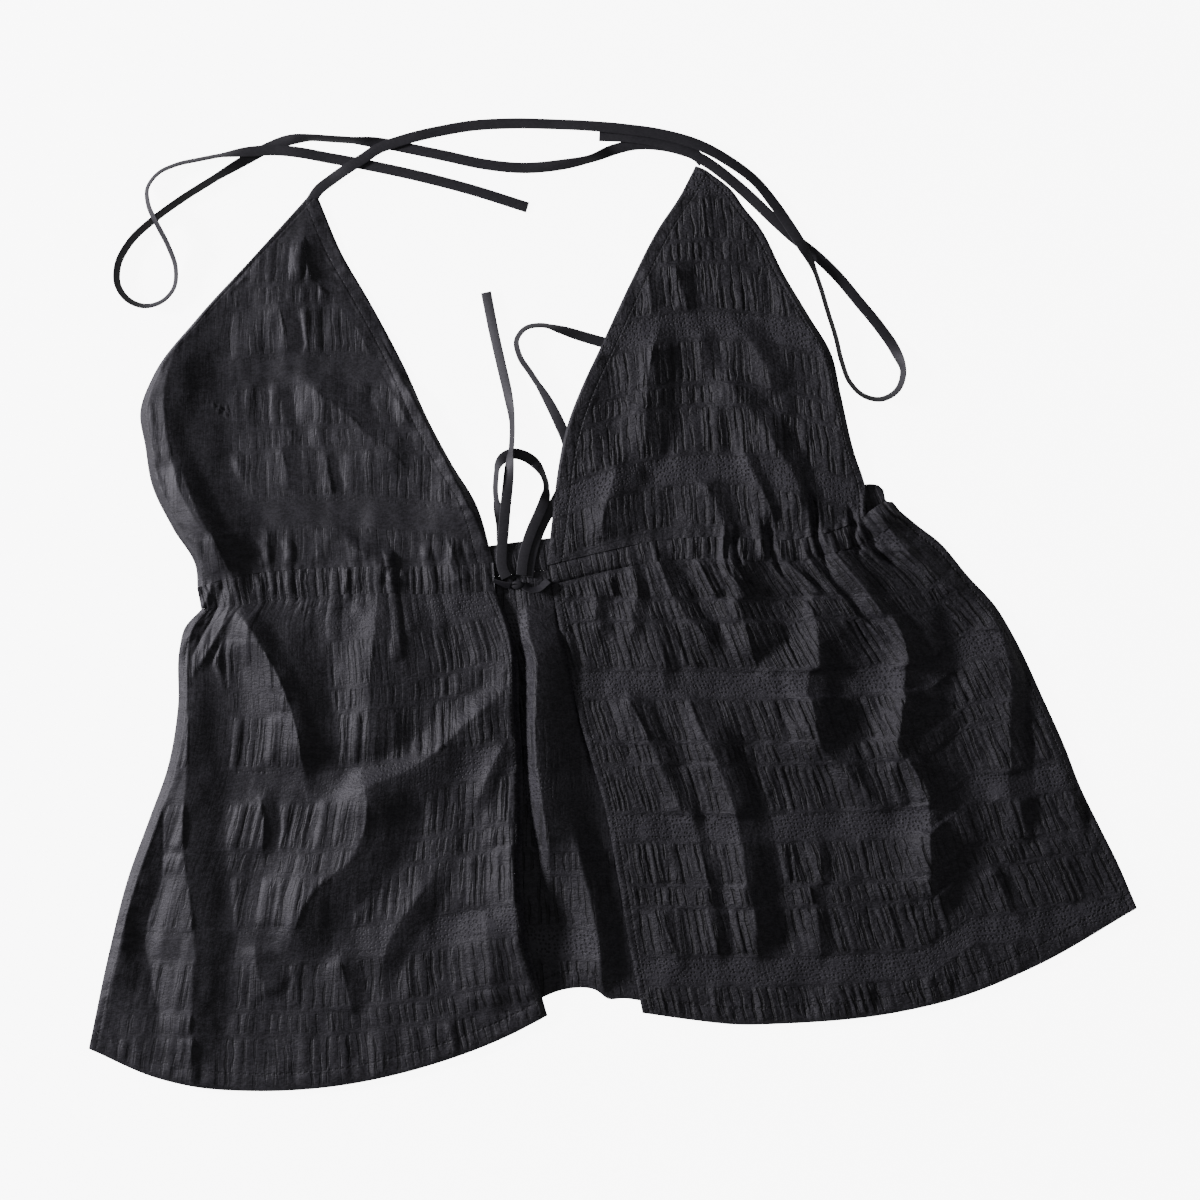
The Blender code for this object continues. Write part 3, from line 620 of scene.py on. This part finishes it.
def ribbon(node, route, count):
    """A flat tie: a curve whose section is wide and thin, rolled as its route says."""
    line = smooth_line([(*row, 0, 0)[:4] for row in route], count)
    lift = np.maximum(line[:, 2], 0.0)
    roll = np.radians(np.clip(line[:, 3], 0.0, 62.0))
    half_height = (RIBBON_THICK + (RIBBON_WIDTH - RIBBON_THICK) * np.sin(roll)) / 2
    data = bpy.data.curves.new(f"{node}_cloth", "CURVE")
    data.dimensions = "3D"
    data.twist_mode = "Z_UP"
    data.extrude = (RIBBON_WIDTH - RIBBON_THICK) / 2 * MM
    data.bevel_depth = RIBBON_THICK / 2 * MM
    data.bevel_resolution = 2
    data.use_fill_caps = True
    spline = data.splines.new("POLY")
    spline.points.add(count - 1)
    spline.use_smooth = True
    for point, place, height, angle in zip(spline.points, line, lift + half_height, roll):
        point.co = (*placed(*place[:2], height), 1.0)
        point.tilt = math.pi / 2 - angle
    return seen_piece(node, data, "tie_cotton")


def free_ribbon(node, route, count):
    """A flat tie that lies loose from where it leaves the garment."""
    body = ribbon(node, route, count)


def dial(node, settings):
    """Sets the sockets of a node that no other node feeds."""
    for label, value in settings.items():
        node.inputs[label].default_value = value


def feed(socket, value):
    """Links a socket to another one, or sets it to a number or a colour."""
    if isinstance(value, bpy.types.NodeSocket):
        socket.id_data.links.new(value, socket)
    else:
        socket.default_value = (*value, 1.0) if isinstance(value, tuple) else value


def maths(operation, *values):
    """Arithmetic on values, at least one of which is a socket."""
    tree = next(value.id_data for value in values if isinstance(value, bpy.types.NodeSocket))
    node = tree.nodes.new("ShaderNodeMath")
    node.operation = operation
    for socket, value in zip(node.inputs, values):
        feed(socket, value)
    return node.outputs[0]


times, plus, minus = (partial(maths, operation) for operation in ("MULTIPLY", "ADD", "SUBTRACT"))


def ramp(value, low, high, start=0.0, end=1.0):
    """A smooth step of `value`, from `start` at `low` to `end` at `high`."""
    node = value.id_data.nodes.new("ShaderNodeMapRange")
    node.interpolation_type = "SMOOTHSTEP"
    labels = ("Value", "From Min", "From Max", "To Min", "To Max")
    for label, setting in zip(labels, (value, low, high, start, end)):
        feed(node.inputs[label], setting)
    return node.outputs[0]


def vector(x, y, z=0.0):
    node = x.id_data.nodes.new("ShaderNodeCombineXYZ")
    for socket, value in zip(node.inputs, (x, y, z)):
        feed(socket, value)
    return node.outputs[0]


def noise(place, scale, detail=2.0):
    node = place.id_data.nodes.new("ShaderNodeTexNoise")
    feed(node.inputs["Vector"], place)
    dial(node, {"Scale": scale, "Detail": detail, "Roughness": 0.6})
    return node.outputs[0]


def cells(tree, dimensions, randomness):
    """A Voronoi texture with cells one unit wide."""
    node = tree.nodes.new("ShaderNodeTexVoronoi")
    node.voronoi_dimensions = dimensions
    dial(node, {"Scale": 1.0, "Randomness": randomness})
    return node


def weave(tree):
    """Threads and slubs of the cotton, longer across than down: a height, and a shade to match."""
    spread = tree.nodes.new("ShaderNodeVectorMath")
    spread.operation = "MULTIPLY"
    feed(spread.inputs[0], tree.nodes.new("ShaderNodeTexCoord").outputs["Object"])
    spread.inputs[1].default_value = (520.0, 980.0, 520.0)
    grain = noise(spread.outputs[0], 1.0, 3.0)
    slub = noise(spread.outputs[0], 0.32, 2.0)
    shade = plus(times(grain, 0.65), times(slub, 0.35))
    return plus(grain, times(slub, 0.7)), ramp(shade, 0.36, 0.66)


def pinholes(across, down):
    """Scattered pinholes, from the distance across and down the cloth in millimetres."""
    pitch = 2.4
    place = vector(maths("DIVIDE", across, pitch), maths("DIVIDE", down, pitch))
    scatter = cells(across.id_data, "2D", 0.6)
    feed(scatter.inputs["Vector"], place)
    holes = ramp(scatter.outputs["Distance"], 0.16, 0.32, 1.0, 0.0)
    return times(holes, ramp(noise(place, 0.16, 1.0), 0.28, 0.44))


def grooves(across, down, level):
    """Thin grooves that run down each band of the weave, some long and some short."""
    pitch = 4.6
    band = maths("FLOOR", plus(level, 0.5))
    wobble = noise(vector(times(across, 0.05), times(down, 0.05)), 1.0)
    place = plus(maths("DIVIDE", across, pitch), times(wobble, 1.1))
    lines = cells(across.id_data, "1D", 0.9)
    lines.feature = "DISTANCE_TO_EDGE"
    feed(lines.inputs["W"], plus(place, times(band, 17.3)))
    groove = ramp(lines.outputs["Distance"], 0.10, 0.26, 1.0, 0.0)
    row = plus(times(down, 0.055), times(band, 5.1))
    runs = noise(vector(times(across, 0.30), row), 1.0, 1.0)
    return times(groove, ramp(runs, 0.42, 0.52))


def fine_crinkle(across, down):
    """Fine creases down the cloth, the thin lines where bands of the weave meet, and what is within."""
    streaks = noise(vector(times(across, 0.55), times(down, 0.07)), 1.0, 2.0)
    turn = times(maths("FRACT", maths("DIVIDE", down, REPEAT)), REPEAT)
    nearest = REPEAT
    for band in BANDS:
        far = maths("ABSOLUTE", minus(turn, band.end + 0.6))
        nearest = maths("MINIMUM", nearest, far)
    return ramp(streaks, 0.30, 0.62), ramp(nearest, 0.35, 0.9, 1.0, 0.0), ramp(nearest, 0.8, 2.4)


def stitches(off_line, run):
    """Short stitches in a row, from the distance to their line and the run along it in millimetres."""
    pitch = 3.0
    beside = ramp(maths("ABSOLUTE", off_line), 0.25, 0.8, 1.0, 0.0)
    phase = maths("FRACT", maths("DIVIDE", run, pitch))
    dash = ramp(maths("ABSOLUTE", minus(phase, 0.5)), 0.22, 0.36, 1.0, 0.0)
    return times(beside, dash)


def field(tree, name):
    node = tree.nodes.new("ShaderNodeAttribute")
    node.attribute_name = name
    return node.outputs["Fac"]


def mixed(factor, first, second):
    """A mix of two colours, each a plain one or a socket."""
    node = factor.id_data.nodes.new("ShaderNodeMix")
    node.data_type = "RGBA"
    for label, value in (("Factor", factor), ("A", first), ("B", second)):
        feed(node.inputs[label], value)
    return node.outputs["Result"]


def new_material(name, settings):
    """A material, its tree, and its shader set as given."""
    material = bpy.data.materials.new(name)
    material.use_nodes = True
    shader = material.node_tree.nodes["Principled BSDF"]
    dial(shader, settings)
    return material, material.node_tree, shader


def cotton(name, dark, light, bump):
    """The start of a cotton: its material, its tree, its shader, its colour and its height."""
    settings = {"Roughness": 0.62, "Specular IOR Level": 0.5, "Diffuse Roughness": 1.0}
    material, tree, shader = new_material(name, settings)
    threads, shade = weave(tree)
    return material, tree, shader, mixed(shade, dark, light), times(threads, bump)


def finish_cotton(tree, shader, colour, height):
    feed(shader.inputs["Base Color"], colour)
    bump = tree.nodes.new("ShaderNodeBump")
    dial(bump, {"Strength": 1.0, "Distance": MM})
    feed(bump.inputs["Height"], height)
    feed(shader.inputs["Normal"], bump.outputs[0])


def crinkled_material():
    """The crinkled cotton, with shade painted into its pinholes, stitch dips and grooves: its heights below
    are in millimetres.
    """
    material, tree, shader, colour, height = cotton("Crinkled cotton", CLOTH_DARK, CLOTH_LIGHT, CLOTH_BUMP)
    across, down = field(tree, "across"), field(tree, "down")
    plain, sharp = field(tree, "plain"), field(tree, "crisp")
    ribbed = minus(1.0, plain)
    height = times(height, sharp)

    open_weave = times(plain, ramp(sharp, 0.3, 0.8))
    # painted highlight: the plain bands are made lighter, more so where the weave is crisp
    colour = mixed(times(open_weave, 0.6), colour, PLAIN_BAND_HIGHLIGHT)

    creases, lines, within = fine_crinkle(across, down)
    height = plus(height, times(times(creases, ribbed), 0.05))
    height = plus(height, times(times(lines, sharp), 0.10))

    # pinholes and stitches sink the cloth, and shade is painted into them further down
    sewn = times(stitches(field(tree, "off_line"), field(tree, "run")), sharp)
    sunk = plus(times(pinholes(across, down), open_weave), sewn)
    height = minus(height, times(sunk, 0.45))

    # grooves sink the cloth, and shade is painted into them as well
    where = times(within, times(field(tree, "grooved"), ribbed))
    grooved = times(grooves(across, down, field(tree, "level")), where)
    height = minus(height, times(grooved, 0.6))

    # painted shade: the colour goes near black in pinholes, stitch dips and grooves
    shade = maths("MAXIMUM", times(sunk, 0.95), times(grooved, 1.2))
    finish_cotton(tree, shader, mixed(shade, colour, PAINTED_SHADE_DARK), height)
    return material


def tie_material():
    material, tree, shader, colour, height = cotton("Tie cotton", TIE_DARK, TIE_LIGHT, TIE_BUMP)
    finish_cotton(tree, shader, colour, height)
    return material


cloths = {"crinkled_cotton": crinkled_material(), "tie_cotton": tie_material()}


def cup(side, neck, outer, waist, folds, ribs, drawn, arch, offset, lean, neck_lift, seed):
    """A triangle of the bodice, from its apex down to the upper edge of its casing."""
    rows, columns = 150, 236
    apex = np.linspace(neck[0], outer[0], columns)
    points, from_neck, from_outer, run, from_waist = panel(
        apex, smooth_line(waist, columns), neck, outer, rows
    )
    u, v = np.meshgrid(np.linspace(0, 1, columns), np.linspace(0, 1, rows))
    x, y = points[..., 0], points[..., 1]

    middle, half, rise = arch
    fallen = max(neck[0][1], outer[0][1]) - y - rise * ((x - middle) / half) ** 2
    across = x + lean * y
    crinkles, plain, level = crinkle(across, fallen, offset, ribs, seed)
    moved = shifted(points, level, 0.5 * smoothstep(4, 30, from_waist), seed + 7)
    large = relief(folds, moved) * smoothstep(1.0, 0.97, u)
    kept = calm(large, x, y)
    strength = (0.3 + 0.7 * smoothstep(9, 14, from_neck)) * smoothstep(0, 4, from_neck)
    strength = strength * smoothstep(5, 8, from_outer) * smoothstep(2, 8, from_waist)
    strength = strength * patchy(x, y, seed + 5) * kept

    lifted = np.maximum(
        smoothstep(0.66, 0.88, v), neck_lift * smoothstep(0.5, 0.25, u) * smoothstep(0.12, 0.35, v)
    )
    hems, off_line, run_along = stitched(((from_neck, NECK_HEM, run), (from_outer, FREE_HEM, run)))
    inside = smoothstep(0, 20, np.minimum(from_neck, from_outer))
    height = (
        LAYER * lifted + NAP + large + strength * crinkles
        + gathers_from(drawn, u, from_waist, 1, seed + 50) * smoothstep(0, 6, from_neck)
        + hems + inside * unevenness(x, y)
    )
    body = sheet_object(
        f"cup_{side}", points, height, across=across, down=fallen - offset, plain=plain * kept, level=level,
        off_line=off_line, run=run_along, **weave_fields(ribs, x, strength),
    )


def peplum(name, waist, inner, outer, edge, folds, bands, ribs, drawn, net_size, lift, amount, jog, seed):
    """A skirt panel, from the lower edge of its casing down to its hem."""
    rows, columns = net_size
    points, from_inner, from_outer, down, from_hem = panel(
        smooth_line(waist, columns), smooth_line(edge, columns), inner, outer, rows
    )
    u = np.linspace(0, 1, columns)[None, :] + np.zeros((rows, 1))
    x, y = points[..., 0], points[..., 1]
    across = u * from_inner[rows // 2, -1]

    first, stretch, held_flat, tilt = bands
    fallen = (first + np.interp(x, *zip(*tilt)) - y) / stretch
    crinkles, plain, level = crinkle(across, fallen, 0.0, ribs, seed)
    moved = shifted(points, level, jog * smoothstep(4, 30, down) * smoothstep(10, 50, from_outer), seed + 7)
    large = relief(folds, moved) * smoothstep(1.0, 0.97, u) * (1.0 - held_flat * plain)
    kept = calm(large, x, y)
    strength = (
        smoothstep(4, 8, from_inner) * smoothstep(4, 8, from_outer) * smoothstep(1, 4, from_hem)
        * smoothstep(1, 6, down) * patchy(x, y, seed + 3) * kept
    )

    drawn_in = gathers_from(drawn, u, down, -1, seed) * (0.5 + 0.5 * kept)
    hems, off_line, run_along = stitched(
        ((from_inner, FREE_HEM, down), (from_outer, FREE_HEM, down), (from_hem, SKIRT_HEM, across))
    )
    inside = smoothstep(0, 20, np.minimum(np.minimum(from_inner, from_outer), from_hem))
    height = (
        lift + NAP + large + strength * crinkles
        + amount * drawn_in + hems + amount * inside * unevenness(x, y)
    )
    body = sheet_object(
        name, points, height, across=across, down=fallen, plain=plain * kept, level=level,
        off_line=off_line, run=run_along, **weave_fields(ribs, x, strength),
    )


def casing(name, line, folds, ribs, under, round_out, seams, strengths, seed, rests_on=()):
    """A casing: a strip a little rounded over its drawstring, gathered across."""
    length = line_length(line)
    columns = int(length / 0.8)
    upper, lower = strip_edges(line, columns)
    down = np.linspace(0.0, 1.0, 20)[:, None]
    points = (1 - down[..., None]) * upper + down[..., None] * lower
    x, y = points[..., 0], points[..., 1]
    along = np.linspace(0.0, length, columns)[None, :] + 0 * down
    width = distances(points, 0)[-1]
    fallen = down * width
    large = relief(folds, points)
    drawn_in = gathers(along, width / 2 - fallen, strengths, seed) * (0.5 + 0.5 * calm(large, x, y))
    edge = np.minimum(fallen, width - fallen)
    seam = np.interp(along, *zip(*seams))
    height = (
        under + NAP + round_out * np.sin(math.pi * down) + drawn_in + large
        + unevenness(x, y) - seam * np.exp(-((edge / 1.0) ** 2))
    )
    body = sheet_object(
        name, points, height, across=along, down=fallen + 20.0, plain=0, level=0,
        grooved=0.7 * ribs.crisp, crisp=0.8 * ribs.crisp, off_line=10.0, run=along,
    )


def knot(size, place):
    mesh = bpy.data.meshes.new("bow_knot_cloth")
    ball = bmesh.new()
    bmesh.ops.create_uvsphere(ball, u_segments=32, v_segments=16, radius=0.5)
    bmesh.ops.scale(ball, vec=[side * MM for side in size], verts=ball.verts[:])
    bmesh.ops.translate(ball, vec=placed(*place), verts=ball.verts[:])
    ball.to_mesh(mesh)
    ball.free()
    mesh.shade_smooth()
    return seen_piece("bow_knot", mesh, "tie_cotton")


def dress():
    count = 200        # places along each casing's edges
    reached = 184      # how many of them the right cup's waist runs along
    above_left, below_left = strip_edges(CASING_LEFT, count)
    above_right, below_right = strip_edges(CASING_RIGHT, count)
    below_back = strip_edges(CASING_BACK, count)[1]
    left = (CASING_LEFT, 1.0, GATHER_LEFT)
    right = (CASING_RIGHT, 1.0, GATHER_RIGHT)
    even = ((0, 0.4), (400, 0.4))

    casing(
        "back_casing", CASING_BACK, (), RIBS_BACK, under=0.0, round_out=0.3, seams=((0, 0.3), (400, 0.3)),
        strengths=even, seed=361,
    )
    casing(
        "casing_left", CASING_LEFT, FOLDS_LEFT, RIBS_LEFT, under=LAYER, round_out=0.3,
        seams=((0, 0.25), (20, 0.0), (190, 0.0)), strengths=GATHER_LEFT, seed=314, rests_on=("back_casing",),
    )
    casing(
        "casing_right", CASING_RIGHT, FOLDS_RIGHT, RIBS_RIGHT, under=LAYER, round_out=0.7,
        seams=((0, 0.8), (48, 0.8), (62, 0.0), (200, 0.0)), strengths=GATHER_RIGHT, seed=324,
        rests_on=("back_casing",),
    )
    peplum(
        "back_peplum", below_back, BACK_SIDE_LEFT, BACK_SIDE_RIGHT, BACK_HEM, FOLDS_BACK, BANDS_BACK,
        RIBS_BACK, (CASING_BACK, 1.0, even), net_size=(97, 496), lift=-0.5, amount=0.3, jog=0.1, seed=200,
    )
    peplum(
        "front_peplum_left", below_left, FRONT_EDGE_LEFT, SIDE_LEFT, HEM_LEFT, FOLDS_LEFT, BANDS_LEFT,
        RIBS_LEFT, left, net_size=(181, 330), lift=LAYER, amount=1.0, jog=0.4, seed=314,
    )
    peplum(
        "front_peplum_right", below_right, FRONT_EDGE_RIGHT, SIDE_RIGHT, HEM_RIGHT, FOLDS_RIGHT, BANDS_RIGHT,
        RIBS_RIGHT, right, net_size=(181, 400), lift=LAYER, amount=1.0, jog=1.0, seed=324,
    )
    cup(
        "left", NECK_LEFT, OUTER_LEFT, above_left, FOLDS_LEFT, RIBS_CUP_LEFT, left,
        arch=(-170.0, 75.0, 6.0), offset=95.0, lean=0.0, neck_lift=0.0, seed=264,
    )
    cup(
        "right", NECK_RIGHT, OUTER_RIGHT, above_right[:reached], FOLDS_RIGHT, RIBS_CUP_RIGHT,
        (CASING_RIGHT, (reached - 1) / (count - 1), GATHER_RIGHT), arch=(60.0, 60.0, 9.0), offset=88.0,
        lean=0.08, neck_lift=1.0, seed=274,
    )

    free_ribbon("neck_tie_left", NECK_TIE_LEFT, 500)
    free_ribbon("neck_tie_right", NECK_TIE_RIGHT, 500)
    held = (
        knot(size=(7.5, 5.5, 3.4), place=(-57, 24, LAYER + 2.1)),
        ribbon("drawstring_left", DRAWSTRING_LEFT, 12),
        ribbon("drawstring_right", DRAWSTRING_RIGHT, 12),
    )
    free_ribbon("bow_tail", BOW_TAIL, 120)
    free_ribbon("bow_loop", BOW_LOOP, 160)
    free_ribbon("bow_tail_under", BOW_TAIL_UNDER, 180)


def floor():
    glow, more_when_seen = 0.4, 7.8
    mesh = grid_mesh("floor", 1, 1, 4.0)
    material, tree, shader = new_material("Floor", {
        "Base Color": (0.8, 0.8, 0.8, 1.0), "Roughness": 0.9, "Emission Color": (1.0, 1.0, 1.0, 1.0),
    })
    seen = tree.nodes.new("ShaderNodeLightPath").outputs["Is Camera Ray"]
    feed(shader.inputs["Emission Strength"], plus(times(seen, more_when_seen), glow))
    mesh.materials.append(material)
    body = bpy.data.objects.new("floor", mesh)
    body.location.z = -0.0005
    scene_objects.link(body)


def area_light(name, place, size, energy, colour):
    data = bpy.data.lights.new(name, "AREA")
    data.shape = "RECTANGLE"
    data.size, data.size_y = size
    data.energy = energy
    data.color = colour
    lamp = bpy.data.objects.new(name, data)
    lamp.location = place
    lamp.rotation_euler = (-Vector(place)).to_track_quat("-Z", "Y").to_euler()
    scene_objects.link(lamp)


def studio():
    area_light("key", (-1.94, 0.46, 0.72), (0.4, 0.3), 72.0, (0.935, 0.90, 1.0))
    area_light("fill", (0.3, 0.2, 2.4), (2.4, 2.4), 2.6, (0.965, 0.95, 1.0))
    world = bpy.data.worlds.new("World")
    world.use_nodes = True
    dial(world.node_tree.nodes["Background"], {"Color": (0.96, 0.945, 1.0, 1.0), "Strength": 0.15})
    bpy.context.scene.world = world

    view_width, cloth_level = 0.72, 0.004
    data = bpy.data.cameras.new("Camera")
    data.lens = 85.0
    data.sensor_width = 36.0
    camera = bpy.data.objects.new("Camera", data)
    x, y, _ = placed(-7.5, 15.0, 0.0)
    camera.location = (x, y, cloth_level + view_width * data.lens / data.sensor_width)
    scene_objects.link(camera)
    bpy.context.scene.camera = camera


dress()
floor()
studio()
